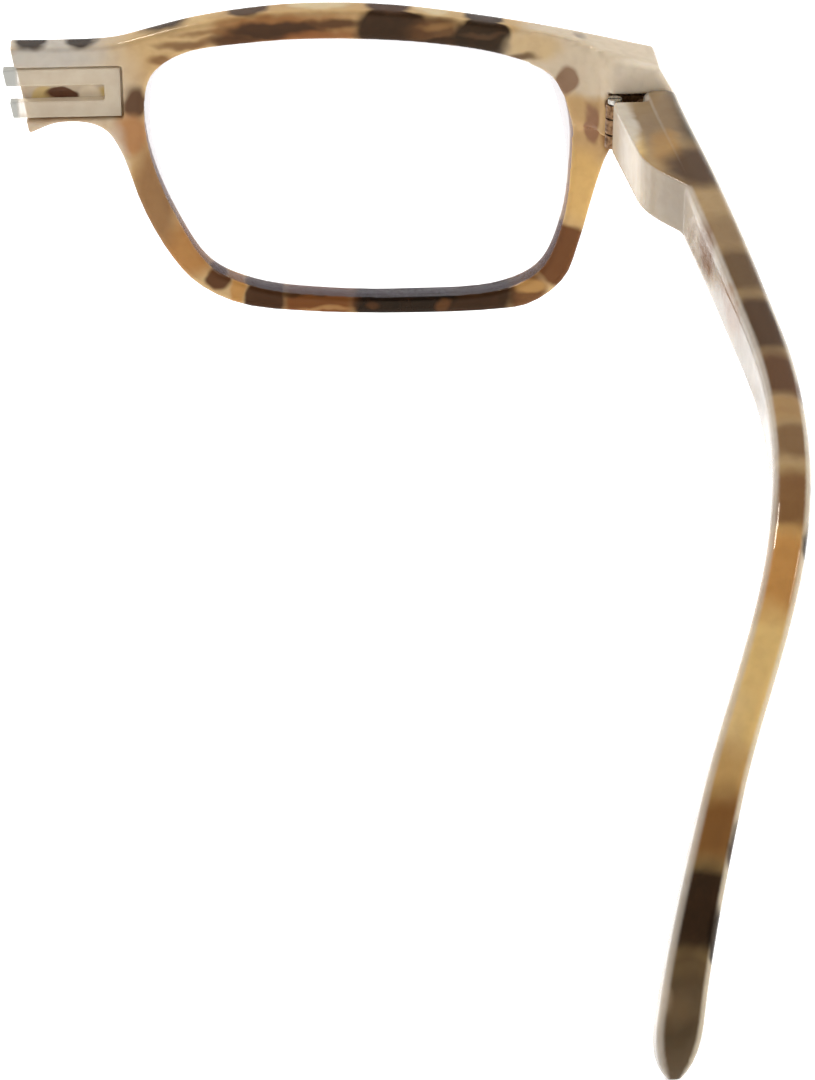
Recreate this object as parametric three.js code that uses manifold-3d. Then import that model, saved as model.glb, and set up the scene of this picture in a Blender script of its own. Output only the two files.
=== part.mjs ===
// One half of a folding pair of reading glasses, in millimetres.
// +X runs from the nose towards the temple side, +Y is the way the wearer looks and +Z is up.
// The origin is on the pair's centre plane, at the bridge's middle height, on the back face of the rim.
// Inside the group, heights are counted from the lens's middle instead.
import * as THREE from "three";
import Module from "manifold-3d";

const wasm = await Module();
wasm.setup();

// Front
const RIM_DEPTH = 3.2; // front to back
const EDGE_ROUND = 0.55; // rounding of the rim's edges
const OPENING_STEPS = 96; // samples round the lens opening
const BROW_STEPS = 34; // samples along the front's top edge
const FOOT_STEPS = 56; // samples along its lower edge
const BRIDGE_END_X = -4.0; // the slanted end, at the middle of its height
const BRIDGE_END_Z = 10.7;
const BRIDGE_SLANT = THREE.MathUtils.degToRad(9.2); // the end leans this far from upright

// Lug at the outer end of the front
const LUG_BACK_Y = -4.5;
const LUG_START_X = 53; // where the rim's back starts to swell into the lug
const LUG_INNER_X = 61.9; // the lug's inner side at its back
const LUG_LOW_Z = 5.2;
const LUG_ROUND = 0.6;
// Handles of the curve in which the lug swells: along X from its start, and in X and Y from its end
const LUG_SWELL = [5, 2.2, 0.6];

// Lens and its groove
const LENS_THICKNESS = 1.4;
const LENS_Y = 1.6; // middle of the groove
const LENS_GROWTH = 0.8; // how far the lens reaches into the rim
const LENS_GAP = 0.25;
const LENS_BEVEL = 0.3;

// Fork let into the back of the bridge
const BRIDGE_Z = 10.6; // the origin's height above the lens's middle
const FORK_Z = 10.45;
const FORK_HEIGHT = 5.7;
const FORK_TONGUE = 1.9; // height of one tongue
const FORK_ROOT_X = 7.2; // where the fork ends inside the bridge
const FORK_SLOT_X = 5.4; // where the gap between the tongues ends
const FORK_UNCUT_X = -12; // where its outline starts, before the slanted end is cut
const FORK_REACH = 1.35; // how far the tongues stand out of the bridge's end
const FORK_Y = [0.15, 1.45];
const FORK_GAP = 0.25;

// Hinge
const PIN_X = 61.9;
const PIN_Y = -5.9;
const PIN_R = 0.4;
const PIN_CLEARANCE = 0.06;
const KNUCKLE_R = 1;
const KNUCKLE_GAP = 0.2;
const HINGE_Z = 7.7; // middle of the hinge and of the temple's front end
const EYE_HEIGHT = 1.7;
const KNUCKLE_HEIGHT = 1.5;
const LEAF_X = [61.4, 66.4];
const RECESS_START_X = 60.5; // the leaf's recess is open towards the lens
const LEAF_THICKNESS = 0.8;
const LEAF_HEIGHT = 5.6;
const LEAF_GAP = 0.2;
const SCREW_HEAD_R = 0.8;
const SCREW_HEAD_HEIGHT = 0.5;
const SCREW_HEAD_GAP = 0.1;
const SCREW_TAIL = 0.2; // how far the screw stands out below
const SLOT_WIDTH = 0.3;
const RIVET_R = 0.45;
const RIVET_HEAD_R = 0.8;
const RIVET_HEAD_FLAT = 0.4; // a head's height as a share of its radius
const RIVET_HEAD_Y = -0.08; // middle of a head, behind the lug's back
const RIVET_HEAD_GAP = 0.05; // between a head and the leaf
const RIVET_CLEARANCE = 0.1;
const RIVET_X = 65.1;
const RIVET_REACH = 2.6; // how deep the rivets run into the lug
const RIVET_SPACING = 3.4;

// Temple
const TEMPLE_LENGTH = 140.5;
const TEMPLE_FRONT_Y = -5.0;
const BEND_START = 80;
const BEND_LENGTH = 30;
const BEND_ANGLE = THREE.MathUtils.degToRad(48);
const TEMPLE_HEIGHT = [7.4, 5.1]; // at the hinge and near the tip
const TEMPLE_WIDTH = [3.9, 3.55, 4.1]; // at the hinge, round the bend and at the tip
const TEMPLE_STATIONS = 56; // even steps along the whole length
const TIP_STATIONS = 6; // closer steps inside the rounded end
const TEMPLE_ROUND = 1.1; // rounding of its long edges
const TEMPLE_TIP_LENGTH = 4.5; // the rounded end
const TIP_LEAST_HEIGHT = 0.2; // share of the height left at the very end
const TIP_LEAST_WIDTH = 0.3;
const TAPER_SHARE = 0.75; // the height narrows over this share of the length
const SECTION_SLACK = 1.05; // keeps the corners of a shrinking section from meeting
// Sideways position of the temple's middle line at equal steps of its length
const TEMPLE_SIDE = [67, 68.5, 69.7, 70.1, 67.1, 59.4, 54.1];

// Pad inside the temple's front end
const PAD_START = 2.15; // distance back from the temple's front end
const PAD_LENGTH = 23.5;
const PAD_TURN = 14; // length of the gently sloping part, before the pad sweeps out
const PAD_INNER_X = 61.5;
const PAD_TURN_X = 62.7;
const PAD_Z = [5.2, 11];
const PAD_NOSE = [0.8, 1]; // rounding of its front corner in X and Y
const PAD_SWEEP = [0.4, 5, 1, 2]; // handles of the outward sweep in X and Y, at its start and its end

// Spring box let into the pad
const BOX_LENGTH = 12.5;
const BOX_WIDTH = 2.4;
const BOX_HEIGHT = 2.8;
const BOX_X = 64.6;
const BOX_LIP = 1.0; // thickness of the front wall that the slider's rod passes
const BOX_BORE_R = 0.85;
const BOX_GAP = 0.2;
const BOX_SETBACK = 0.3; // of the box's front from the pad's front
const NECK_DEPTH = 0.55; // half the front-to-back size of the arm between eye and rod
const ROD_R = 0.4;
const ROD_CLEARANCE = 0.1;
const COLLAR_LENGTH = 1.0;
const COLLAR_R = 0.72;
const ROD_PAST_COLLAR = 0.6;
const SPRING_WIRE_R = 0.1;
const SPRING_R = 0.62;
const SPRING_TURNS = 9;
const SPRING_LENGTH = 5.6; // its length with the temple drawn right back
const SPRING_STEPS = 12; // samples in one turn
const SPRING_END_GAP = 0.1;
const SLIDE_TRAVEL = 1.5;

const JOIN = 0.4; // how far joined shapes run into each other
const BORE_OVERRUN = 0.5; // how far cutters run past the faces they cut
const PAST_ALL = 80; // masks and cutters of this size run clear of the whole front
const ROUND = 24; // sides of a cylinder
const SMALL_ROUND = 12;

// A manifold-3d solid of a closed geometry, with its shared corners merged.
function toSolid(geometry) {
  const flat = geometry.index ? geometry.toNonIndexed() : geometry;
  const position = flat.getAttribute("position");
  const keys = new Map();
  const points = [];
  const triangles = [];
  for (let i = 0; i < position.count; i++) {
    const p = [position.getX(i), position.getY(i), position.getZ(i)];
    const key = p.map((v) => Math.round(v * 1e4)).join();
    if (!keys.has(key)) {
      keys.set(key, points.length / 3);
      points.push(...p);
    }
    triangles.push(keys.get(key));
  }
  const kept = [];
  for (let i = 0; i < triangles.length; i += 3) {
    const [a, b, c] = triangles.slice(i, i + 3);
    if (a !== b && b !== c && c !== a) kept.push(a, b, c);
  }
  return new wasm.Manifold(
    new wasm.Mesh({
      numProp: 3,
      vertProperties: new Float32Array(points),
      triVerts: new Uint32Array(kept),
    }),
  );
}

function toGeometry(solid) {
  const mesh = solid.getMesh();
  const indexed = new THREE.BufferGeometry();
  indexed.setAttribute("position", new THREE.BufferAttribute(mesh.vertProperties, mesh.numProp));
  indexed.setIndex(new THREE.BufferAttribute(mesh.triVerts, 1));
  const flat = indexed.toNonIndexed();
  flat.computeVertexNormals();
  return flat;
}

function block(x, y, z) {
  const geometry = new THREE.BoxGeometry(x[1] - x[0], y[1] - y[0], z[1] - z[0]);
  geometry.translate((x[0] + x[1]) / 2, (y[0] + y[1]) / 2, (z[0] + z[1]) / 2);
  return toSolid(geometry);
}

// A cylinder standing along Z.
function post(x, y, z, radius, segments = ROUND) {
  const geometry = new THREE.CylinderGeometry(radius, radius, z[1] - z[0], segments);
  geometry.rotateX(Math.PI / 2);
  geometry.translate(x, y, (z[0] + z[1]) / 2);
  return toSolid(geometry);
}

// A cylinder lying along Y.
function bar(x, y, z, radius, segments = ROUND) {
  const geometry = new THREE.CylinderGeometry(radius, radius, y[1] - y[0], segments);
  geometry.translate(x, (y[0] + y[1]) / 2, z);
  return toSolid(geometry);
}

// A flat outline in X and Z, thickened along Y between the two given values.
function plate(points, y, round = 0, hole = null) {
  const shape = new THREE.Shape(points.map(([px, pz]) => new THREE.Vector2(px, pz)));
  if (hole) shape.holes.push(new THREE.Path(hole.map(([px, pz]) => new THREE.Vector2(px, pz))));
  const geometry = new THREE.ExtrudeGeometry(shape, {
    depth: y[1] - y[0] - 2 * round,
    bevelEnabled: round > 0,
    bevelSize: round,
    bevelThickness: round,
    bevelOffset: -round,
    bevelSegments: 3,
    curveSegments: 1,
  });
  geometry.rotateX(Math.PI / 2);
  geometry.translate(0, y[1] - round, 0);
  return toSolid(geometry);
}

// The closed curve through the points, sampled.
function smoothLoop(points, steps) {
  const curve = new THREE.CatmullRomCurve3(
    points.map(([x, z]) => new THREE.Vector3(x, z, 0)),
    true,
  );
  return curve
    .getPoints(steps)
    .slice(0, steps)
    .map((p) => [p.x, p.y]);
}

// The open curve through the points, sampled.
function smoothRun(points, steps) {
  const curve = new THREE.CatmullRomCurve3(points.map(([x, z]) => new THREE.Vector3(x, z, 0)));
  return curve.getPoints(steps).map((p) => [p.x, p.y]);
}

// Moves every point of a clockwise or anticlockwise loop outwards by the given distance.
function grow(loop, distance) {
  const turn = Math.sign(THREE.ShapeUtils.area(loop.map(([x, z]) => new THREE.Vector2(x, z))));
  return loop.map(([x, z], i) => {
    const before = loop[(i + loop.length - 1) % loop.length];
    const after = loop[(i + 1) % loop.length];
    const dx = after[0] - before[0];
    const dz = after[1] - before[1];
    const length = Math.hypot(dx, dz);
    return [x + (turn * distance * dz) / length, z - (turn * distance * dx) / length];
  });
}

const opening = smoothLoop(
  [
    [9.8, 7],
    [10.6, 12],
    [14, 14.6],
    [21.8, 15.8],
    [30, 16.1],
    [41.8, 15.3],
    [50.7, 13.5],
    [55.6, 11],
    [57.6, 5.5],
    [57.8, 0],
    [57, -7],
    [54.6, -12.8],
    [50, -15.2],
    [40, -15.8],
    [30, -15.4],
    [22, -14.1],
    [16.8, -11.4],
    [13, -5],
    [10.6, 1.5],
  ],
  OPENING_STEPS,
);

// The front's outer edge: bridge top and brow, chamfered outer end, rim and nose arch.
// It starts and ends past the bridge's slanted end, which is cut afterwards.
const outline = [
  ...smoothRun(
    [
      [-7, 16],
      [0.6, 15.9],
      [6.6, 16.1],
      [10.7, 17.1],
      [15.2, 18.2],
      [21.8, 19.2],
      [28.6, 19.6],
      [37.5, 19.2],
      [46.5, 17.9],
      [55.5, 16.2],
      [67, 13.5],
    ],
    BROW_STEPS,
  ),
  [69.2, 9.6],
  [69, 6.6],
  ...smoothRun(
    [
      [67.6, 5.4],
      [64.6, 4.4],
      [62.4, 2.2],
      [60.9, -2],
      [59, -9.6],
      [57.4, -14],
      [53.5, -17.1],
      [48.8, -17.8],
      [38, -17.9],
      [28, -17.4],
      [20, -16.2],
      [15, -13.4],
      [12, -9.6],
      [9.2, -3.9],
      [7, 3],
      [5.4, 5.7],
      [3.4, 6.7],
      [0, 6.8],
      [-2, 6.1],
      [-4, 5.2],
    ],
    FOOT_STEPS,
  ),
  [-7, 4],
].reverse();

// Everything to the nose side of the slanted end.
function beyondBridgeEnd(gap = 0) {
  const geometry = new THREE.BoxGeometry(PAST_ALL, PAST_ALL, PAST_ALL);
  geometry.translate(-PAST_ALL / 2 - gap, 0, 0);
  geometry.rotateY(-BRIDGE_SLANT);
  geometry.translate(BRIDGE_END_X, 0, BRIDGE_END_Z);
  return toSolid(geometry);
}

function forkOutline(grown = 0) {
  const low = FORK_Z - FORK_HEIGHT / 2 - grown;
  const high = FORK_Z + FORK_HEIGHT / 2 + grown;
  return [
    [FORK_UNCUT_X, low],
    [FORK_ROOT_X + grown, low],
    [FORK_ROOT_X + grown, high],
    [FORK_UNCUT_X, high],
  ];
}

const boxFrontY = TEMPLE_FRONT_Y - PAD_START - BOX_SETBACK;
const leafZ = [HINGE_Z - LEAF_HEIGHT / 2, HINGE_Z + LEAF_HEIGHT / 2];
const knuckleBottom = HINGE_Z - EYE_HEIGHT / 2 - KNUCKLE_GAP - KNUCKLE_HEIGHT;
const knuckleTop = HINGE_Z + EYE_HEIGHT / 2 + KNUCKLE_GAP + KNUCKLE_HEIGHT;
const rivetZ = [HINGE_Z - RIVET_SPACING / 2, HINGE_Z + RIVET_SPACING / 2];

// The lug seen from above: the rim's back swells into it in one curve.
function lugProfile() {
  const shape = new THREE.Shape();
  shape.moveTo(LUG_START_X, RIM_DEPTH);
  shape.lineTo(LUG_START_X, 0);
  const [lead, inward, back] = LUG_SWELL;
  const end = LUG_BACK_Y - JOIN;
  shape.bezierCurveTo(LUG_START_X + lead, 0, LUG_INNER_X - inward, -back, LUG_INNER_X, end);
  shape.lineTo(PAST_ALL, end);
  shape.lineTo(PAST_ALL, RIM_DEPTH);
  shape.closePath();
  const geometry = new THREE.ExtrudeGeometry(shape, {
    depth: PAST_ALL,
    bevelEnabled: false,
    curveSegments: 10,
  });
  geometry.translate(0, 0, LUG_LOW_Z);
  return toSolid(geometry);
}

function buildFront() {
  let solid = plate(outline, [0, RIM_DEPTH], EDGE_ROUND, opening);
  const deep = plate(outline, [LUG_BACK_Y, RIM_DEPTH - JOIN], LUG_ROUND, opening);
  solid = solid.add(deep.intersect(lugProfile())).subtract(beyondBridgeEnd());
  const groove = plate(grow(opening, LENS_GROWTH + LENS_GAP), [
    LENS_Y - LENS_THICKNESS / 2 - LENS_GAP,
    LENS_Y + LENS_THICKNESS / 2 + LENS_GAP,
  ]);
  const pocket = plate(forkOutline(FORK_GAP), [-BORE_OVERRUN, FORK_Y[1] + FORK_GAP]);
  const recess = block(
    [RECESS_START_X, LEAF_X[1] + LEAF_GAP],
    [LUG_BACK_Y - BORE_OVERRUN, LUG_BACK_Y + LEAF_THICKNESS + LEAF_GAP],
    [leafZ[0] - LEAF_GAP, leafZ[1] + LEAF_GAP],
  );
  solid = solid.subtract(groove).subtract(pocket).subtract(recess);
  for (const z of rivetZ) {
    const holeY = [LUG_BACK_Y - BORE_OVERRUN, LUG_BACK_Y + RIVET_REACH + BORE_OVERRUN];
    solid = solid.subtract(bar(RIVET_X, holeY, z, RIVET_R + RIVET_CLEARANCE, SMALL_ROUND));
  }
  return solid;
}

function buildLens() {
  return plate(
    grow(opening, LENS_GROWTH),
    [LENS_Y - LENS_THICKNESS / 2, LENS_Y + LENS_THICKNESS / 2],
    LENS_BEVEL,
  );
}

function buildFork() {
  const low = FORK_Z - FORK_HEIGHT / 2 + FORK_TONGUE;
  const high = FORK_Z + FORK_HEIGHT / 2 - FORK_TONGUE;
  const y = [FORK_Y[0] - BORE_OVERRUN, FORK_Y[1] + BORE_OVERRUN];
  const gap = block([FORK_UNCUT_X - BORE_OVERRUN, FORK_SLOT_X], y, [low, high]);
  return plate(forkOutline(), FORK_Y).subtract(gap).subtract(beyondBridgeEnd(FORK_REACH));
}

function buildLeaf() {
  let solid = block(LEAF_X, [LUG_BACK_Y, LUG_BACK_Y + LEAF_THICKNESS], leafZ);
  for (const side of [-1, 1]) {
    const near = HINGE_Z + side * (EYE_HEIGHT / 2 + KNUCKLE_GAP);
    const far = near + side * KNUCKLE_HEIGHT;
    const z = [Math.min(near, far), Math.max(near, far)];
    solid = solid
      .add(post(PIN_X, PIN_Y, z, KNUCKLE_R))
      .add(block([PIN_X - KNUCKLE_R / 2, PIN_X + KNUCKLE_R], [PIN_Y, LUG_BACK_Y + JOIN], z));
  }
  const pinHoleZ = [knuckleBottom - BORE_OVERRUN, knuckleTop + BORE_OVERRUN];
  solid = solid.subtract(post(PIN_X, PIN_Y, pinHoleZ, PIN_R + PIN_CLEARANCE));
  for (const z of rivetZ) {
    const through = [LUG_BACK_Y - BORE_OVERRUN, LUG_BACK_Y + LEAF_THICKNESS + BORE_OVERRUN];
    solid = solid.subtract(bar(RIVET_X, through, z, RIVET_R + RIVET_CLEARANCE, SMALL_ROUND));
  }
  return solid;
}

function buildScrew() {
  const headLow = knuckleTop + SCREW_HEAD_GAP;
  const headTop = headLow + SCREW_HEAD_HEIGHT;
  const slot = block(
    [PIN_X - 2 * KNUCKLE_R, PIN_X + 2 * KNUCKLE_R],
    [PIN_Y - SLOT_WIDTH / 2, PIN_Y + SLOT_WIDTH / 2],
    [headTop - SCREW_HEAD_HEIGHT / 2, headTop + BORE_OVERRUN],
  );
  return post(PIN_X, PIN_Y, [knuckleBottom - SCREW_TAIL, headLow + SCREW_HEAD_GAP], PIN_R)
    .add(post(PIN_X, PIN_Y, [headLow, headTop], SCREW_HEAD_R))
    .subtract(slot);
}

function buildRivet(z) {
  const head = new THREE.SphereGeometry(RIVET_HEAD_R, 16, 8);
  head.scale(1, RIVET_HEAD_FLAT, 1);
  head.translate(RIVET_X, LUG_BACK_Y + RIVET_HEAD_Y, z);
  const trim = block(
    [RIVET_X - 2 * RIVET_HEAD_R, RIVET_X + 2 * RIVET_HEAD_R],
    [LUG_BACK_Y - RIVET_HEAD_GAP, LUG_BACK_Y + 2 * RIVET_HEAD_R],
    [z - 2 * RIVET_HEAD_R, z + 2 * RIVET_HEAD_R],
  );
  const shankY = [LUG_BACK_Y - 2 * RIVET_HEAD_GAP, LUG_BACK_Y + RIVET_REACH];
  const shank = bar(RIVET_X, shankY, z, RIVET_R, SMALL_ROUND);
  return toSolid(head).subtract(trim).add(shank);
}

// The temple's middle line: position, its sideways place and its downward angle at a distance s.
const sideCurve = new THREE.SplineCurve(
  TEMPLE_SIDE.map((x, i) => new THREE.Vector2(i, x)),
);
function templeSide(s) {
  return sideCurve.getPoint(THREE.MathUtils.clamp(s / TEMPLE_LENGTH, 0, 1)).y;
}

function templeAngle(s) {
  const u = THREE.MathUtils.clamp((s - BEND_START) / BEND_LENGTH, 0, 1);
  return BEND_ANGLE * u * u * (3 - 2 * u);
}

function templeLine() {
  const distances = [];
  for (let i = 0; i < TEMPLE_STATIONS; i++) {
    const s = (i / TEMPLE_STATIONS) * TEMPLE_LENGTH;
    if (s < TEMPLE_LENGTH - TEMPLE_TIP_LENGTH) distances.push(s);
  }
  for (let i = 0; i <= TIP_STATIONS; i++) {
    const turn = (i / TIP_STATIONS) * (Math.PI / 2);
    distances.push(TEMPLE_LENGTH - TEMPLE_TIP_LENGTH * (1 - Math.sin(turn)));
  }
  const line = [];
  let y = TEMPLE_FRONT_Y;
  let z = HINGE_Z;
  distances.forEach((s, i) => {
    if (i > 0) {
      const before = distances[i - 1];
      const middle = templeAngle((s + before) / 2);
      y -= Math.cos(middle) * (s - before);
      z -= Math.sin(middle) * (s - before);
    }
    line.push({ s, y, z, x: templeSide(s), angle: templeAngle(s) });
  });
  return line;
}

// From 1 along the temple down to a small share at its very end, as a quarter of an ellipse.
function tipShare(s, least) {
  const left = Math.min(1, (TEMPLE_LENGTH - s) / TEMPLE_TIP_LENGTH);
  return Math.max(Math.sqrt(Math.max(0, 1 - (1 - left) ** 2)), least);
}

function templeHalfHeight(s) {
  const [front, back] = TEMPLE_HEIGHT;
  const taper = THREE.MathUtils.smoothstep(s, 0, TEMPLE_LENGTH * TAPER_SHARE);
  return (THREE.MathUtils.lerp(front, back, taper) / 2) * tipShare(s, TIP_LEAST_HEIGHT);
}

function templeHalfWidth(s) {
  const [front, bend, tip] = TEMPLE_WIDTH;
  const narrowing = THREE.MathUtils.smoothstep(s, PAD_LENGTH, BEND_START);
  const widening = THREE.MathUtils.smoothstep(s, BEND_START + BEND_LENGTH, TEMPLE_LENGTH);
  const full = THREE.MathUtils.lerp(THREE.MathUtils.lerp(front, bend, narrowing), tip, widening);
  return (full / 2) * tipShare(s, TIP_LEAST_WIDTH);
}

// A rounded-corner section, as fractions of the half width and half height.
function sectionPoints(round, corner = 3) {
  const points = [];
  for (const [cx, cz, start] of [
    [1, 1, 0],
    [-1, 1, 90],
    [-1, -1, 180],
    [1, -1, 270],
  ]) {
    for (let i = 0; i <= corner; i++) {
      const a = THREE.MathUtils.degToRad(start + (90 * i) / corner);
      points.push([cx, cz, Math.cos(a) * round, Math.sin(a) * round]);
    }
  }
  return points;
}

// Sweeps a rounded rectangle along stations that each hold a middle, an angle and two half sizes.
function sweep(stations, round) {
  const section = sectionPoints(round);
  const ring = section.length;
  const positions = [];
  for (const { x, y, z, angle, halfWidth, halfHeight } of stations) {
    const r = Math.min(1, Math.min(halfWidth, halfHeight) / (round * SECTION_SLACK));
    for (const [cx, cz, ox, oz] of section) {
      const across = cx * (halfWidth - round * r) + ox * r;
      const up = cz * (halfHeight - round * r) + oz * r;
      positions.push(x + across, y - Math.sin(angle) * up, z + Math.cos(angle) * up);
    }
  }
  const index = [];
  for (let i = 0; i + 1 < stations.length; i++) {
    for (let j = 0; j < ring; j++) {
      const a = i * ring + j;
      const b = i * ring + ((j + 1) % ring);
      index.push(a, b, a + ring, b, b + ring, a + ring);
    }
  }
  for (let j = 1; j + 1 < ring; j++) {
    index.push(0, j + 1, j);
    const last = (stations.length - 1) * ring;
    index.push(last, last + j, last + j + 1);
  }
  const geometry = new THREE.BufferGeometry();
  geometry.setAttribute("position", new THREE.Float32BufferAttribute(positions, 3));
  geometry.setIndex(index);
  return toSolid(geometry);
}

function templeStations() {
  return templeLine().map((p) => ({
    ...p,
    halfWidth: templeHalfWidth(p.s),
    halfHeight: templeHalfHeight(p.s),
  }));
}

// The pad's inner face is nearly straight behind the hinge.
// Then it sweeps out to meet the temple's inner face.
function buildPad() {
  const front = TEMPLE_FRONT_Y - PAD_START;
  const end = front - PAD_LENGTH;
  const meet = templeSide(PAD_START + PAD_LENGTH) - TEMPLE_WIDTH[0] / 2 + JOIN;
  const shape = new THREE.Shape();
  shape.moveTo(TEMPLE_SIDE[0], -front);
  shape.lineTo(PAD_INNER_X + PAD_NOSE[0], -front);
  shape.quadraticCurveTo(PAD_INNER_X, -front, PAD_INNER_X, -front + PAD_NOSE[1]);
  shape.lineTo(PAD_TURN_X, -front + PAD_TURN);
  const [x1, y1, x2, y2] = PAD_SWEEP;
  shape.bezierCurveTo(PAD_TURN_X + x1, -end - y1, meet - x2, -end - y2, meet, -end);
  shape.lineTo(templeSide(PAD_START + PAD_LENGTH), -end);
  shape.closePath();
  const geometry = new THREE.ExtrudeGeometry(shape, {
    depth: PAD_Z[1] - PAD_Z[0],
    bevelEnabled: false,
    curveSegments: 10,
  });
  geometry.rotateX(Math.PI);
  geometry.translate(0, 0, PAD_Z[1]);
  return toSolid(geometry);
}

function buildTemple() {
  const boxY = [boxFrontY - BOX_LENGTH, boxFrontY];
  const pocket = block(
    [BOX_X - BOX_WIDTH / 2 - BOX_GAP, BOX_X + BOX_WIDTH / 2 + BOX_GAP],
    [boxY[0] - BOX_GAP, boxY[1] + BOX_SETBACK + BORE_OVERRUN],
    [HINGE_Z - BOX_HEIGHT / 2 - BOX_GAP, HINGE_Z + BOX_HEIGHT / 2 + BOX_GAP],
  );
  return sweep(templeStations(), TEMPLE_ROUND).add(buildPad()).subtract(pocket);
}

function buildSpringBox() {
  const z = [HINGE_Z - BOX_HEIGHT / 2, HINGE_Z + BOX_HEIGHT / 2];
  const back = boxFrontY - BOX_LENGTH;
  const x = [BOX_X - BOX_WIDTH / 2, BOX_X + BOX_WIDTH / 2];
  return block(x, [back, boxFrontY], z)
    .subtract(bar(BOX_X, [back - BORE_OVERRUN, boxFrontY - BOX_LIP], HINGE_Z, BOX_BORE_R))
    .subtract(bar(BOX_X, [back, boxFrontY + BORE_OVERRUN], HINGE_Z, ROD_R + ROD_CLEARANCE, SMALL_ROUND));
}

const springFrontY = boxFrontY - BOX_LIP - SPRING_END_GAP;
const collarFrontY = springFrontY - SPRING_LENGTH - SPRING_END_GAP - SLIDE_TRAVEL;

// Middle knuckle, the neck beside it and the rod that runs through the spring.
function buildSlider() {
  const z = [HINGE_Z - EYE_HEIGHT / 2, HINGE_Z + EYE_HEIGHT / 2];
  return post(PIN_X, PIN_Y, z, KNUCKLE_R)
    .add(block([PIN_X, BOX_X + ROD_R], [PIN_Y - NECK_DEPTH, PIN_Y + NECK_DEPTH], z))
    .subtract(post(PIN_X, PIN_Y, [z[0] - BORE_OVERRUN, z[1] + BORE_OVERRUN], PIN_R + PIN_CLEARANCE))
    .add(bar(BOX_X, [collarFrontY - COLLAR_LENGTH - ROD_PAST_COLLAR, PIN_Y], HINGE_Z, ROD_R, SMALL_ROUND));
}

function buildCollar() {
  const y = [collarFrontY - COLLAR_LENGTH, collarFrontY];
  const through = [y[0] - BORE_OVERRUN, y[1] + BORE_OVERRUN];
  const hole = bar(BOX_X, through, HINGE_Z, ROD_R + PIN_CLEARANCE, SMALL_ROUND);
  return bar(BOX_X, y, HINGE_Z, COLLAR_R).subtract(hole);
}

class Helix extends THREE.Curve {
  getPoint(t, target = new THREE.Vector3()) {
    const a = t * SPRING_TURNS * 2 * Math.PI;
    const usable = SPRING_LENGTH - 2 * SPRING_WIRE_R;
    const y = springFrontY - SPRING_WIRE_R - t * usable;
    return target.set(BOX_X + SPRING_R * Math.cos(a), y, HINGE_Z + SPRING_R * Math.sin(a));
  }
}

function buildSpring() {
  const section = new THREE.Shape();
  section.absarc(0, 0, SPRING_WIRE_R, 0, 2 * Math.PI);
  const geometry = new THREE.ExtrudeGeometry(section, {
    steps: SPRING_TURNS * SPRING_STEPS,
    curveSegments: 3,
    bevelEnabled: false,
    extrudePath: new Helix(),
  });
  return toSolid(geometry);
}

function named(name, solid, color, roughness, metalness) {
  const material = new THREE.MeshStandardMaterial({ color, roughness, metalness });
  const mesh = new THREE.Mesh(toGeometry(solid), material);
  mesh.name = name;
  return mesh;
}

const TORTOISE = 0x9a6a38;
const CLEAR = 0xdfe0dc;
const STEEL = 0xb9b6b0;
const COPPER = 0xb07a48;

const half = new THREE.Group();
half.position.z = -BRIDGE_Z;
half.add(
  named("front_half", buildFront(), TORTOISE, 0.25, 0),
  named("lens", buildLens(), CLEAR, 0.05, 0),
  named("bridge_fork", buildFork(), CLEAR, 0.2, 0),
  named("front_hinge_leaf", buildLeaf(), COPPER, 0.3, 1),
  named("rivet_lower", buildRivet(rivetZ[0]), COPPER, 0.3, 1),
  named("rivet_upper", buildRivet(rivetZ[1]), COPPER, 0.3, 1),
  named("hinge_screw", buildScrew(), STEEL, 0.25, 1),
  named("hinge_slider", buildSlider(), COPPER, 0.3, 1),
  named("slider_collar", buildCollar(), STEEL, 0.3, 1),
  named("hinge_spring", buildSpring(), STEEL, 0.3, 1),
  named("spring_box", buildSpringBox(), COPPER, 0.35, 1),
  named("temple", buildTemple(), TORTOISE, 0.25, 0),
);

const group = new THREE.Group();
group.add(half);

export default group;
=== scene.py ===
"""Half of a folding pair of reading glasses in glossy tortoise plastic, lit softly on a pale floor."""

import math

import bmesh
import bpy
from mathutils import Matrix, Vector
from mathutils.bvhtree import BVHTree


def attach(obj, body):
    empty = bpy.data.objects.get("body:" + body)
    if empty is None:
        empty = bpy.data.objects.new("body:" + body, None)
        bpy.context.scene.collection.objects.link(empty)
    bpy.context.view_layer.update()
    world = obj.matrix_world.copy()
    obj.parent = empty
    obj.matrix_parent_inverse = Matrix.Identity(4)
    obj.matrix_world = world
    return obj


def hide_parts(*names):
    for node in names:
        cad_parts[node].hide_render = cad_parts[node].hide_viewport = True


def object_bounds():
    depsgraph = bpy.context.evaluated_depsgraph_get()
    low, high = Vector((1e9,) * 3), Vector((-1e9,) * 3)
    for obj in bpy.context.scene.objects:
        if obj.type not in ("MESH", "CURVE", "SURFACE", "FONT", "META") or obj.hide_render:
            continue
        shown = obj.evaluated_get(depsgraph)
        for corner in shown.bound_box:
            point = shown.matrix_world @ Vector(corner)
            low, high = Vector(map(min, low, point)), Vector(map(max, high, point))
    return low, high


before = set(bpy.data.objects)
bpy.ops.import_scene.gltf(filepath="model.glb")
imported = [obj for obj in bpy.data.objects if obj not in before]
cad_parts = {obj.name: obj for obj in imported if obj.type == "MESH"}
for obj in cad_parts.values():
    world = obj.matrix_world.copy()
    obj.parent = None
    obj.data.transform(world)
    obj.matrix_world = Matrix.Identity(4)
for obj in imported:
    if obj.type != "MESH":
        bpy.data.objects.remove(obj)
cad_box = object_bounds()

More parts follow.
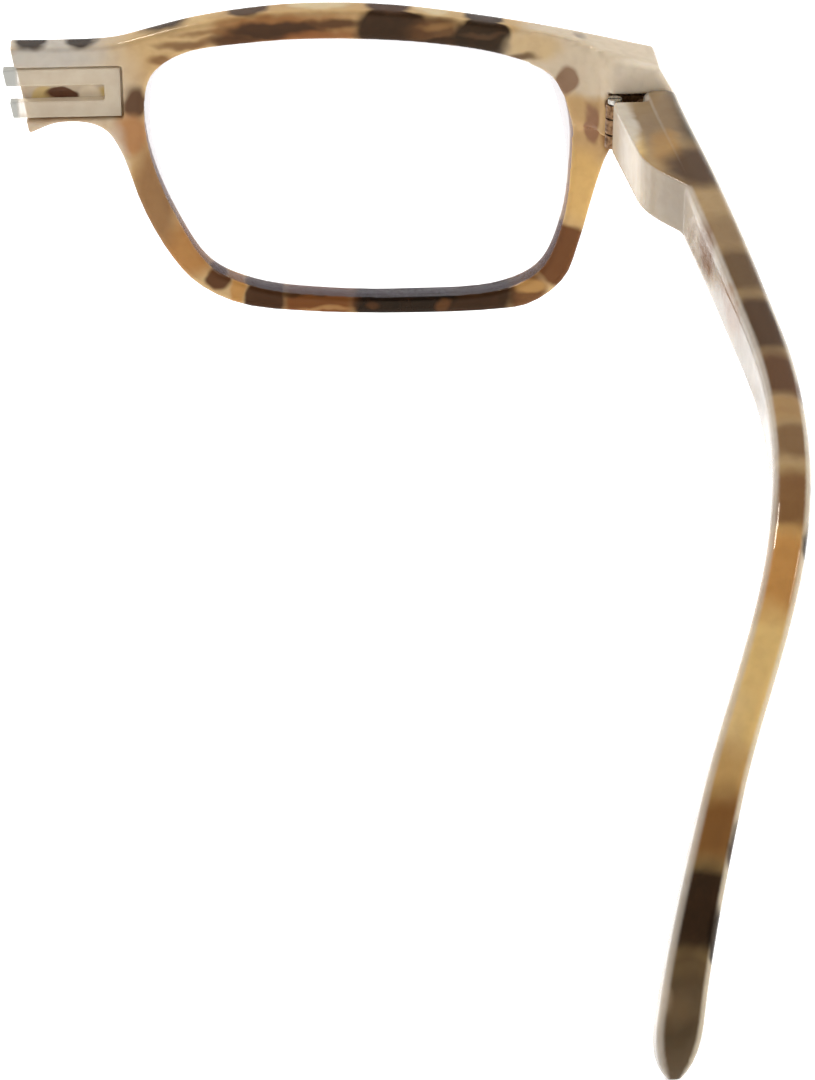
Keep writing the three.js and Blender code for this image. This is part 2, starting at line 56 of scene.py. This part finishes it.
MM = 0.001
LENS_MIDDLE_Z = -10.6 * MM  # height of the lens's middle in the row frame
FINE_VOXEL = 0.17 * MM
FORK_VOXEL = 0.1 * MM
LENS_VOXEL = 0.25 * MM
PLASTIC_ROUNDS = 9  # rounds of smoothing that soften the plastic's edges
FORK_ROUNDS = 3
PLASTIC_IOR = 1.49
LENS_IOR = 1.5
LENS_SMOOTH = (0.02, 0.02, 0.02, 1)  # roughness of the lens's face, then of its ground border
LENS_GROUND = (0.3, 0.3, 0.3, 1)


# Colours, as linear values
def srgb(r, g, b):
    """Linear colour from 0 to 255 display values."""
    return tuple(((v / 255 + 0.055) / 1.055) ** 2.4 if v > 10 else v / 3294 for v in (r, g, b)) + (1.0,)


HONEY = srgb(198, 166, 118)
PALE = srgb(204, 186, 160)
CREAM = srgb(212, 190, 150)
GREYBEIGE = srgb(198, 182, 160)
AMBER = srgb(164, 108, 48)
BROWN = srgb(92, 54, 26)
DARK = srgb(42, 24, 12)
DARKEST = srgb(20, 9, 3)
GREYBROWN = srgb(62, 54, 48)
GREY = srgb(150, 138, 124)


class Nodes:
    """A material's node tree with short calls to add and link nodes."""

    def __init__(self, name):
        self.material = bpy.data.materials.new(name)
        self.material.use_nodes = True
        self.tree = self.material.node_tree
        self.shader = self.tree.nodes["Principled BSDF"]
        self.coords = self.add("ShaderNodeTexCoord").outputs["Object"]

    def add(self, kind, **settings):
        node = self.tree.nodes.new(kind)
        for key, value in settings.items():
            setattr(node, key, value)
        return node

    def link(self, source, target):
        self.tree.links.new(source, target)

    def fill(self, socket, value):
        if isinstance(value, bpy.types.NodeSocket):
            self.link(value, socket)
        else:
            socket.default_value = value

    def math(self, operation, a, b=0.0):
        node = self.add("ShaderNodeMath", operation=operation)
        self.fill(node.inputs[0], a)
        self.fill(node.inputs[1], b)
        return node.outputs[0]

    def vector(self, operation, a, b):
        node = self.add("ShaderNodeVectorMath", operation=operation)
        self.fill(node.inputs[0], a)
        self.fill(node.inputs[1], b)
        return node.outputs["Value" if operation in ("LENGTH", "DOT_PRODUCT") else "Vector"]

    def scaled(self, vector, scale):
        node = self.add("ShaderNodeVectorMath", operation="SCALE")
        self.fill(node.inputs[0], vector)
        node.inputs["Scale"].default_value = scale
        return node.outputs["Vector"]

    def axis(self, vector, name):
        node = self.add("ShaderNodeSeparateXYZ")
        self.fill(node.inputs[0], vector)
        return node.outputs[name]

    def ramp(self, value, low, high, out_low=0.0, out_high=1.0):
        node = self.add("ShaderNodeMapRange", interpolation_type="SMOOTHSTEP")
        self.fill(node.inputs["Value"], value)
        node.inputs["From Min"].default_value = low
        node.inputs["From Max"].default_value = high
        node.inputs["To Min"].default_value = out_low
        node.inputs["To Max"].default_value = out_high
        return node.outputs["Result"]

    def noise(self, vector, scale, detail=2.0, color=False):
        node = self.add("ShaderNodeTexNoise")
        self.fill(node.inputs["Vector"], vector)
        node.inputs["Scale"].default_value = scale
        node.inputs["Detail"].default_value = detail
        return node.outputs["Color" if color else "Fac"]

    def mix(self, factor, a, b):
        node = self.add("ShaderNodeMix", data_type="RGBA")
        self.fill(node.inputs["Factor"], factor)
        self.fill(node.inputs["A"], a)
        self.fill(node.inputs["B"], b)
        return node.outputs["Result"]

    def bump(self, height, strength, distance):
        node = self.add("ShaderNodeBump")
        node.inputs["Strength"].default_value = strength
        node.inputs["Distance"].default_value = distance
        self.fill(node.inputs["Height"], height)
        self.link(node.outputs["Normal"], self.shader.inputs["Normal"])


def spotted(n, where, color, spots):
    """Colour with each soft-edged spot laid over the ones before it."""
    for middle, radii, tint, strength, soft in spots:
        scaled = n.vector("DIVIDE", n.vector("SUBTRACT", where, middle), radii)
        distance = n.vector("LENGTH", scaled, (0, 0, 0))
        color = n.mix(n.ramp(distance, 1 - soft, 1 + soft, strength, 0.0), color, tint)
    return color


# Noise in the plastic, in waves per millimetre
WANDER_SCALE = 0.28
WANDER_WIDTH = 1.8  # how far a spot's edge wanders, in millimetres
FINE_SCALE = 0.7
RIPPLE_SCALE = 0.5


def tortoise(name, base, clouds, blotches, faces=(), edge_spots=()):
    """Translucent plastic: a base colour with soft clouds and blotches.

    Each cloud is (scale, low, high, tint, strength). Each blotch and edge spot is
    (middle, radii, colour, strength, softness) in millimetres. Light coming through the
    plastic is painted onto some faces as a paler tint, so faces lists (direction, tint,
    strength) of this painted light, and the edge spots lie over them.
    """
    n = Nodes(name)
    millimetres = n.scaled(n.coords, 1 / MM)
    noise = n.noise(millimetres, WANDER_SCALE, color=True)
    wander = n.vector("SUBTRACT", noise, (0.5, 0.5, 0.5))
    warped = n.vector("ADD", millimetres, n.scaled(wander, WANDER_WIDTH))
    color = base
    for scale, low, high, tint, strength in clouds:
        mask = n.ramp(n.noise(warped, scale), low, high, 0.0, strength)
        color = n.mix(mask, color, tint)
    color = spotted(n, warped, color, blotches)
    normal = n.coords.node.outputs["Normal"]
    # Painted light: faces turned along each direction get a paler tint, standing for light coming
    # through the plastic
    for direction, tint, strength in faces:
        turned = n.vector("DOT_PRODUCT", normal, direction)
        facing = n.ramp(turned, 0.3, 0.75, 0.0, strength)
        color = n.mix(facing, color, tint)
    color = spotted(n, warped, color, edge_spots)
    fine = n.noise(warped, FINE_SCALE)
    color = n.mix(n.ramp(fine, 0.35, 0.75, 0.0, 0.1), color, BROWN)
    n.link(color, n.shader.inputs["Base Color"])
    wear = n.ramp(n.noise(millimetres, FINE_SCALE, 4.0), 0.35, 0.75, 0.09, 0.2)
    n.link(wear, n.shader.inputs["Roughness"])
    n.shader.inputs["Transmission Weight"].default_value = 0.15
    n.shader.inputs["Subsurface Weight"].default_value = 0.25
    n.shader.inputs["Subsurface Radius"].default_value = (1.0, 0.6, 0.3)
    n.shader.inputs["Subsurface Scale"].default_value = 0.6 * MM
    n.shader.inputs["Specular IOR Level"].default_value = 0.15
    n.shader.inputs["Specular Tint"].default_value = (1.0, 0.8, 0.6, 1.0)
    n.shader.inputs["IOR"].default_value = PLASTIC_IOR
    n.bump(n.noise(millimetres, RIPPLE_SCALE), 0.06, 0.2 * MM)
    return n.material


def above(z):
    """Height in millimetres in the row frame of a height over the lens's middle."""
    return z + LENS_MIDDLE_Z / MM


def placed(spots):
    """Spots whose middles are given as (x, y, height over the lens's middle)."""
    return [
        ((x, y, above(z)), radii, tint, strength, soft)
        for (x, y, z), radii, tint, strength, soft in spots
    ]


def front_material():
    yellow = srgb(206, 176, 104)
    spots = [
        # bridge
        ((0, 1.6, 11.5), (9, 5, 7), GREYBEIGE, 0.9, 0.3),
        ((-1, 1.6, 14.8), (6, 5, 1.6), srgb(190, 184, 174), 0.8, 0.4),
        ((-2.6, 2.4, 16.2), (1.9, 2.4, 0.8), GREYBROWN, 1.0, 0.25),
        ((2.8, 2.4, 16.2), (1.9, 2.4, 0.9), GREYBROWN, 1.0, 0.25),
        ((0.5, 1.5, 8.2), (7, 5, 1.3), srgb(172, 142, 108), 0.8, 0.4),
        ((-2.6, 1, 11.9), (1.3, 1.5, 0.8), srgb(184, 156, 136), 0.7, 0.4),
        ((-1.6, 1.7, 9.7), (0.9, 1, 0.8), yellow, 0.7, 0.3),
        ((5.4, 1.7, 9.7), (0.9, 1, 0.8), yellow, 0.8, 0.3),
        ((3.6, 1.7, 9.7), (1.4, 1, 0.9), srgb(228, 212, 186), 0.9, 0.3),
        ((0.5, 1.7, 9.6), (1.8, 1, 0.8), srgb(88, 54, 36), 1.0, 0.15),
        ((8.7, 0, 9.1), (1.3, 2.6, 2.1), srgb(80, 50, 32), 0.95, 0.35),
        ((7.9, 0, 5.2), (2, 2.6, 2.4), srgb(170, 120, 76), 0.95, 0.35),
        # nose side of the rim
        ((14, 0, -9), (3.4, 5, 3.4), srgb(170, 118, 62), 0.9, 0.4),
        ((10.6, 0, -2.4), (2.6, 5, 6.5), srgb(140, 100, 62), 0.9, 0.4),
        ((6.2, 1, 1.5), (1.4, 5, 5), srgb(206, 192, 172), 0.75, 0.4),
        # brow, back face
        ((15, -0.6, 16), (4, 1.2, 0.55), srgb(112, 74, 44), 0.8, 0.4),
        ((12, -0.6, 14.2), (1.6, 1.2, 0.7), srgb(120, 80, 46), 0.8, 0.4),
        ((16.4, -0.6, 17.1), (3.6, 1.2, 0.4), srgb(122, 86, 52), 0.8, 0.5),
        ((26, -0.6, 17.4), (9, 1.3, 2.4), srgb(142, 94, 52), 0.95, 0.3),
        ((20, -0.6, 16.2), (3.4, 1.2, 0.9), srgb(78, 48, 28), 0.95, 0.35),
        ((25, -0.6, 17.4), (6.4, 1.4, 1.1), srgb(66, 42, 26), 1.0, 0.25),
        ((29.5, -0.6, 16.5), (5, 1.2, 0.7), srgb(140, 88, 50), 0.9, 0.4),
        ((31, -0.6, 18.1), (4, 1.3, 0.6), srgb(76, 48, 28), 0.9, 0.4),
        ((37.6, -0.6, 17), (4.4, 1.8, 4), srgb(48, 30, 17), 1.0, 0.15),
        ((42.8, -0.6, 16.6), (3.6, 1.4, 2.6), srgb(92, 60, 34), 0.95, 0.3),
        ((43, -0.7, 17.5), (2.6, 1.1, 0.5), srgb(150, 110, 66), 0.8, 0.5),
        ((42.6, -0.6, 15.4), (3, 1.3, 0.8), DARK, 0.9, 0.3),
        ((47.6, -0.6, 15.6), (3.4, 1.8, 3.4), srgb(42, 28, 17), 1.0, 0.12),
        ((47.4, -0.7, 16.3), (2.4, 1.1, 0.35), srgb(88, 62, 42), 0.7, 0.5),
        # brow, top face
        ((16.2, 2.4, 19.6), (2.4, 3, 1.8), srgb(206, 174, 122), 0.9, 0.3),
        ((21.3, 2.6, 20.5), (3.1, 3.2, 2.3), srgb(84, 64, 48), 1.0, 0.15),
        ((29.6, 2.8, 21.2), (5, 3, 2.2), CREAM, 1.0, 0.15),
        ((37.3, 2.6, 20.6), (3, 3.4, 2.6), srgb(76, 54, 40), 1.0, 0.15),
        ((42.6, 2.7, 20), (2.6, 3, 2), CREAM, 1.0, 0.15),
        ((48, 2.6, 19), (2.9, 3.3, 2.4), srgb(72, 60, 52), 1.0, 0.12),
        ((11.2, 2.8, 18.6), (3.8, 3, 1.9), DARK, 0.95, 0.3),
        ((54.6, 3.2, 16.6), (1.9, 0.9, 0.6), DARK, 0.85, 0.3),
        # outer corner and lug
        ((60.8, 0, 14), (10.3, 8, 4.8), srgb(214, 198, 174), 0.85, 0.15),
        ((53.4, -0.4, 14.8), (3, 1.5, 1.8), srgb(204, 174, 126), 0.8, 0.4),
        ((51.8, -0.6, 13.6), (2.2, 1.2, 0.6), srgb(80, 52, 32), 0.85, 0.4),
        ((58.3, 1, 14.9), (1.2, 1.5, 0.6), GREY, 0.9, 0.3),
        # Painted light: a paler patch on the lug's back face that lightens the shade falling there
        ((65.4, -5, 12.4), (4.6, 1.8, 4.4), srgb(228, 214, 192), 0.85, 0.35),
        ((66.4, -4, 10.3), (1.6, 3, 0.7), srgb(206, 178, 124), 0.8, 0.4),
        ((57.1, 0, 10.9), (1.4, 3, 1.9), srgb(140, 108, 84), 0.95, 0.2),
        ((60.2, 0, 6.4), (1.15, 3, 3.6), srgb(140, 100, 74), 0.95, 0.15),
        ((61.3, -2, 9.1), (0.6, 3, 0.6), srgb(82, 56, 36), 0.95, 0.25),
        ((62.6, -1, 3.4), (1.3, 4, 2.6), srgb(128, 90, 52), 0.9, 0.4),
        # temple side and foot of the rim
        ((59, 0, -2.4), (2.6, 4, 4.4), srgb(212, 172, 106), 0.9, 0.35),
        ((57.6, 1, -11), (4, 5, 3.9), srgb(108, 66, 34), 1.0, 0.1),
        ((53.2, 1, -15.6), (2.2, 5, 3), srgb(110, 68, 34), 0.95, 0.3),
        ((53.4, -0.4, -14.6), (1.9, 1.4, 0.9), srgb(182, 138, 82), 0.9, 0.3),
        ((47.4, 1, -16), (4.6, 5, 3.2), srgb(50, 28, 10), 1.0, 0.2),
        ((38.6, 1, -16), (6.2, 5, 3.2), DARKEST, 1.0, 0.12),
        ((43.4, -0.4, -16.8), (1.2, 1.2, 0.8), srgb(92, 56, 26), 0.9, 0.3),
        ((35.4, -0.4, -16.4), (0.9, 1.1, 0.7), srgb(78, 46, 20), 0.8, 0.4),
        ((29, 1, -16), (4.3, 5, 3.2), srgb(116, 68, 30), 1.0, 0.2),
        ((28.6, 0, -14.7), (4.6, 2.2, 0.6), srgb(58, 34, 16), 0.85, 0.4),
        ((29.5, -0.4, -16.9), (3.2, 1, 0.4), srgb(180, 134, 84), 0.8, 0.5),
        ((22.8, 1, -15.2), (2.3, 5, 3), srgb(64, 36, 16), 1.0, 0.15),
        ((19.6, 1, -14.2), (1, 5, 2), srgb(182, 134, 76), 1.0, 0.25),
        ((17.4, 1, -12.8), (1.3, 5, 1.5), srgb(84, 50, 26), 1.0, 0.2),
    ]
    return tortoise("tortoise_front", HONEY, [(0.09, 0.5, 0.62, AMBER, 0.2)], placed(spots))


def temple_material():
    tan = srgb(160, 132, 94)
    spots = [
        # straight part
        ((69, -46, 9), (7, 48, 9), tan, 0.9, 0.1),
        ((66, -8, 8), (6, 10, 8), srgb(176, 158, 134), 0.8, 0.3),
        ((69.4, -12, 11), (2.8, 8, 4), srgb(72, 60, 46), 0.95, 0.35),
        ((65.4, -12, 11.4), (3, 8, 1.2), srgb(134, 110, 80), 0.9, 0.4),
        ((62.4, -12, 11.4), (1.1, 8, 1), srgb(206, 196, 180), 0.8, 0.4),
        ((65.8, -21, 11.4), (1.6, 5, 1.2), srgb(170, 130, 76), 0.8, 0.4),
        ((68.8, -26, 9), (4, 5.4, 7), srgb(74, 52, 34), 0.95, 0.35),
        ((69.4, -42, 9), (4, 4, 7), srgb(126, 100, 70), 0.7, 0.5),
        ((69.5, -51, 9), (4, 5, 7), srgb(96, 72, 46), 0.95, 0.35),
        ((70, -62.5, 9), (4, 6, 7), srgb(68, 44, 26), 0.95, 0.3),
        ((70, -73, 9), (4, 4.4, 7), srgb(86, 54, 30), 0.95, 0.35),
        # bend
        ((70, -80, 9), (4, 2, 7), srgb(160, 124, 78), 0.8, 0.5),
        ((70, -86, 9), (4, 3.4, 7), srgb(116, 84, 50), 0.9, 0.4),
        ((68, -95, 8), (5, 4, 7), srgb(118, 80, 46), 0.95, 0.35),
        ((66, -102.5, 5), (6, 4, 7), srgb(186, 130, 68), 0.9, 0.4),
        # fall and tip
        ((59.6, -115.6, -7.6), (6, 3, 4), srgb(182, 140, 80), 0.8, 0.5),
        ((58.8, -118.6, -10.6), (6, 3, 4), srgb(120, 76, 34), 0.95, 0.45),
        ((57, -123, -15.6), (6, 4.2, 4.8), srgb(46, 30, 17), 1.0, 0.3),
        ((54.6, -127.4, -19.6), (6, 3, 3), srgb(74, 56, 38), 0.9, 0.4),
        ((54.5, -131.5, -25.5), (7, 6, 8), srgb(70, 56, 42), 0.95, 0.25),
        ((54, -128.6, -21.4), (3, 1.6, 1.8), srgb(116, 94, 66), 0.8, 0.5),
        ((52.6, -127.4, -21), (1.5, 2.2, 2.4), srgb(172, 150, 124), 0.9, 0.3),
    ]
    # Painted light: the inner and outer side faces are tinted paler, for light coming through the
    # plastic
    faces = [
        ((-1, 0, 0), srgb(190, 180, 166), 0.7),
        ((1, 0, 0), srgb(214, 200, 174), 0.8),
    ]
    edge_spots = [
        # outer face, from the bend down
        ((71.9, -85, 9.2), (0.9, 2, 3), DARKEST, 0.95, 0.3),
        ((70.8, -93.8, 8.8), (0.9, 1.6, 3), DARKEST, 0.95, 0.3),
        ((69.2, -101.4, 6.4), (0.9, 3.8, 4), DARKEST, 0.95, 0.25),
        ((62.7, -116.8, -6.8), (0.9, 1.4, 1.8), DARK, 0.95, 0.3),
        ((60.7, -120.4, -11), (0.9, 2.4, 2.6), DARK, 0.95, 0.3),
        ((58.5, -126, -17), (0.9, 3, 3.4), DARKEST, 0.95, 0.3),
        # outer face, straight part
        ((72, -14, 6.4), (2.2, 5, 2.6), srgb(150, 118, 80), 0.8, 0.4),
        ((72.4, -27, 9), (2.2, 6, 3), srgb(96, 66, 40), 0.85, 0.35),
        ((72.6, -40, 5.6), (2.2, 5, 2), srgb(150, 108, 62), 0.8, 0.4),
        ((72.8, -52, 9), (2.2, 5.4, 3), srgb(92, 62, 38), 0.85, 0.35),
        ((73, -65, 7.6), (2.2, 5, 3), srgb(70, 44, 26), 0.9, 0.35),
        ((73, -76, 9.4), (2.2, 3.6, 2.2), srgb(96, 60, 34), 0.85, 0.35),
        # inner face, straight part
        ((67.4, -42, 9), (0.7, 4, 2.4), srgb(120, 84, 54), 0.8, 0.4),
        ((67.8, -56, 9), (0.7, 6, 2.4), srgb(146, 112, 82), 0.8, 0.4),
    ]
    clouds = [(0.08, 0.5, 0.62, PALE, 0.2)]
    return tortoise(
        "tortoise_temple",
        srgb(222, 186, 120),
        clouds,
        placed(spots),
        faces,
        placed(edge_spots),
    )


def clear_plastic():
    """Clear plastic that shows what is behind it. Its side faces are drawn more opaque as a painted
    edge highlight, and the bare tongues look cloudy.
    """
    n = Nodes("clear_grey_plastic")
    across = n.axis(n.coords, "X")
    inside = n.ramp(across, -4.5 * MM, -3.9 * MM)
    facing = n.math("ABSOLUTE", n.axis(n.coords.node.outputs["Normal"], "Y"))
    patches = n.ramp(n.noise(n.coords, 500.0, 3.0), 0.3, 0.7)
    body = n.mix(patches, srgb(232, 218, 194), srgb(222, 206, 182))
    n.link(n.mix(inside, srgb(176, 175, 168), body), n.shader.inputs["Base Color"])
    wear = n.ramp(n.noise(n.coords, 1800.0, 3.0), 0.3, 0.7, 0.08, 0.16)
    n.link(wear, n.shader.inputs["Roughness"])
    # Painted edge highlight: faces turned sideways are more opaque, so their pale colour outlines the
    # fork
    clear = n.ramp(facing, 0.5, 0.95, 0.7, 0.42)
    cloudy = n.ramp(inside, 0.0, 1.0, 0.92, 0.0)
    n.link(n.math("MAXIMUM", clear, cloudy), n.shader.inputs["Alpha"])
    n.shader.inputs["Specular IOR Level"].default_value = 0.3
    n.shader.inputs["IOR"].default_value = PLASTIC_IOR
    return n.material


def lens_material():
    """Clear lens: a pale ground border next to the rim, and only a faint haze inside it."""
    n = Nodes("clear_lens")
    border = n.add("ShaderNodeAttribute", attribute_name="border").outputs["Fac"]
    waver = n.ramp(n.noise(n.coords, 160.0), 0.3, 0.7, -0.15, 0.15)
    ground = n.ramp(n.math("ADD", border, waver), 1.35, 1.75, 1.0, 0.0)
    haze = n.ramp(n.noise(n.coords, 60.0, 3.0), 0.3, 0.7, 0.01, 0.03)
    n.link(n.mix(ground, srgb(244, 244, 248), srgb(206, 200, 206)), n.shader.inputs["Base Color"])
    height = n.axis(n.coords, "Z")
    upper = n.ramp(height, above(-14) * MM, above(4) * MM, 0.18, 0.42)
    pale = n.math("MULTIPLY", ground, upper)
    n.link(n.math("MAXIMUM", haze, pale), n.shader.inputs["Alpha"])
    n.link(n.mix(ground, LENS_SMOOTH, LENS_GROUND), n.shader.inputs["Roughness"])
    n.shader.inputs["IOR"].default_value = LENS_IOR
    return n.material


def metal(name, light, dark, roughness):
    """Metal with a fine grain drawn along the Y axis."""
    n = Nodes(name)
    streak = n.vector("MULTIPLY", n.coords, (3000, 400, 3000))
    grain = n.noise(streak, 1.0, 4.0)
    n.link(n.mix(n.ramp(grain, 0.3, 0.7), light, dark), n.shader.inputs["Base Color"])
    n.link(n.ramp(grain, 0.3, 0.7, roughness * 0.7, roughness * 1.3), n.shader.inputs["Roughness"])
    n.shader.inputs["Metallic"].default_value = 1.0
    n.bump(grain, 0.15, 0.02 * MM)
    return n.material


def paint(obj, material):
    obj.data.materials.clear()
    obj.data.materials.append(material)


def refined(node, material, voxel, smoothing):
    """A fine copy of a CAD node: remeshed, its edges softened, and shaded smooth."""
    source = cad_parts[node]
    obj = bpy.data.objects.new(node + "_skin", source.data.copy())
    bpy.context.scene.collection.objects.link(obj)
    remesh = obj.modifiers.new("remesh", "REMESH")
    remesh.mode = "VOXEL"
    remesh.voxel_size = voxel
    remesh.use_smooth_shade = True
    soften = obj.modifiers.new("soften", "SMOOTH")
    soften.factor = 0.5
    soften.iterations = smoothing
    paint(obj, material)
    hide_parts(node)
    return obj


def settled(obj):
    """Turns an object's modifiers into its mesh."""
    graph = bpy.context.evaluated_depsgraph_get()
    mesh = bpy.data.meshes.new_from_object(obj.evaluated_get(graph))
    obj.modifiers.clear()
    obj.data = mesh


def melted(obj, places, rounds):
    """Smooths away small steps inside ellipsoids, each a middle and radii in millimetres."""
    work = bmesh.new()
    work.from_mesh(obj.data)
    for middle, radii in places:
        near = [
            v
            for v in work.verts
            if sum(((c / MM - m) / r) ** 2 for c, m, r in zip(v.co, middle, radii)) < 1
        ]
        for _ in range(rounds):
            bmesh.ops.smooth_vert(
                work,
                verts=near,
                factor=0.5,
                use_axis_x=True,
                use_axis_y=True,
                use_axis_z=True,
            )
    work.to_mesh(obj.data)
    work.free()


def bordered(obj, node):
    """Stores each point's distance from the node's side faces, in mm, as the attribute border."""
    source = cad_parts[node].data
    sides = [p.vertices[:] for p in source.polygons if abs(p.normal.y) < 0.3]
    tree = BVHTree.FromPolygons([v.co for v in source.vertices], sides)
    border = obj.data.attributes.new("border", "FLOAT", "POINT")
    border.data.foreach_set("value", [tree.find_nearest(v.co)[3] / MM for v in obj.data.vertices])


def bevelled(node, material, width):
    """Paints a CAD node and gives its sharp edges a fine bevel."""
    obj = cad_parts[node]
    paint(obj, material)
    bevel = obj.modifiers.new("edges", "BEVEL")
    bevel.width = width
    bevel.segments = 2
    bevel.limit_method = "ANGLE"
    bevel.angle_limit = math.radians(35)


front = refined("front_half", front_material(), FINE_VOXEL, PLASTIC_ROUNDS)
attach(front, "front")
settled(front)
lug_crease = ((61.6, -4, above(13.4)), (2.8, 2.4, 2.6))
lug_steps = [
    ((58.6, -0.6, above(5.2)), (4.2, 2.4, 1.8)),
    lug_crease,
    ((58.6, -1.2, above(10)), (2.4, 2.6, 6)),
]
melted(front, lug_steps, 45)
melted(front, [lug_crease], 90)
temple = refined("temple", temple_material(), FINE_VOXEL, PLASTIC_ROUNDS)
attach(temple, "arm")
fork = refined("bridge_fork", clear_plastic(), FORK_VOXEL, FORK_ROUNDS)
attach(fork, "front")
lens = refined("lens", lens_material(), LENS_VOXEL, 0)
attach(lens, "front")
settled(lens)
bordered(lens, "lens")

copper = metal("coppery_metal", srgb(136, 106, 78), srgb(88, 62, 42), 0.42)
steel = metal("hinge_steel", srgb(204, 200, 192), srgb(160, 156, 150), 0.28)
for node in ("front_hinge_leaf", "hinge_slider", "spring_box", "rivet_lower", "rivet_upper"):
    bevelled(node, copper, 0.08 * MM)
for node in ("hinge_screw", "slider_collar"):
    bevelled(node, steel, 0.06 * MM)
paint(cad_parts["hinge_spring"], steel)


# Rings of the floor's surface, each a radius and a height in metres
FLOOR_RINGS = [(2.0, 0.0), (2.6, 0.05), (2.9, 0.2), (3.0, 0.5), (3.0, 0.9)]
FLOOR_SIDES = 64
FLOOR_GAP = 0.3 * MM


def floor():
    """A pale round floor just under the glasses, which curves up far away from them."""
    n = Nodes("pale_floor")
    patches = n.ramp(n.noise(n.coords, 30.0, 3.0), 0.3, 0.7)
    color = n.mix(patches, (0.93, 0.93, 0.93, 1), (0.95, 0.95, 0.95, 1))
    n.link(color, n.shader.inputs["Base Color"])
    n.shader.inputs["Roughness"].default_value = 0.9
    n.shader.inputs["Emission Color"].default_value = (1, 1, 1, 1)
    n.shader.inputs["Emission Strength"].default_value = 0.55
    low = cad_box[0][2] - FLOOR_GAP
    sides = FLOOR_SIDES
    points = [(0, 0, low)]
    for radius, height in FLOOR_RINGS:
        for i in range(sides):
            turn = 2 * math.pi * i / sides
            points.append((radius * math.cos(turn), radius * math.sin(turn), low + height))
    faces = [(0, 1 + i, 1 + (i + 1) % sides) for i in range(sides)]
    for ring in range(len(FLOOR_RINGS) - 1):
        start = 1 + ring * sides
        for i in range(sides):
            j = (i + 1) % sides
            faces.append((start + i, start + sides + i, start + sides + j, start + j))
    mesh = bpy.data.meshes.new("floor")
    mesh.from_pydata(points, [], faces)
    mesh.shade_smooth()
    obj = bpy.data.objects.new("floor", mesh)
    bpy.context.scene.collection.objects.link(obj)
    paint(obj, n.material)


def area_light(name, place, target, size, power):
    data = bpy.data.lights.new(name, "AREA")
    data.size = size
    data.energy = power
    light = bpy.data.objects.new(name, data)
    light.location = place
    light.rotation_euler = (Vector(target) - Vector(place)).to_track_quat("-Z", "Y").to_euler()
    bpy.context.scene.collection.objects.link(light)


def studio():
    """Soft white surroundings and two lights."""
    world = bpy.data.worlds.new("studio")
    world.use_nodes = True
    background = world.node_tree.nodes["Background"]
    background.inputs["Color"].default_value = (1, 1, 1, 1)
    background.inputs["Strength"].default_value = 0.45
    bpy.context.scene.world = world
    middle = (0.035, -0.05, 0)
    area_light("key", (-0.2, 0.25, 0.45), middle, 0.12, 2.4)
    area_light("side", (0.45, -0.1, 0.3), middle, 0.12, 0.7)
    bpy.context.scene.view_settings.view_transform = "Standard"


CAMERA_LENS = 118.3  # focal length in millimetres
CAMERA_DOWN = 29.59  # degrees that the camera looks down
CAMERA_ASIDE = 3.41  # degrees that it is turned towards the temple
CAMERA_PLACE = (17.2 * MM, -369.8 * MM, 162.4 * MM + LENS_MIDDLE_Z)


def camera():
    """The view from behind and above, near the middle of the pair."""
    data = bpy.data.cameras.new("camera")
    data.sensor_fit = "AUTO"
    data.sensor_width = 36.0
    data.lens = CAMERA_LENS
    data.clip_start = 0.01
    obj = bpy.data.objects.new("camera", data)
    pitch = math.radians(CAMERA_DOWN)
    turn = math.radians(CAMERA_ASIDE)
    obj.matrix_world = (
        Matrix.Translation(Vector(CAMERA_PLACE))
        @ Matrix.Rotation(-turn, 4, "Z")
        @ Matrix.Rotation(math.pi / 2 - pitch, 4, "X")
    )
    bpy.context.scene.collection.objects.link(obj)
    bpy.context.scene.camera = obj


floor()
studio()
camera()
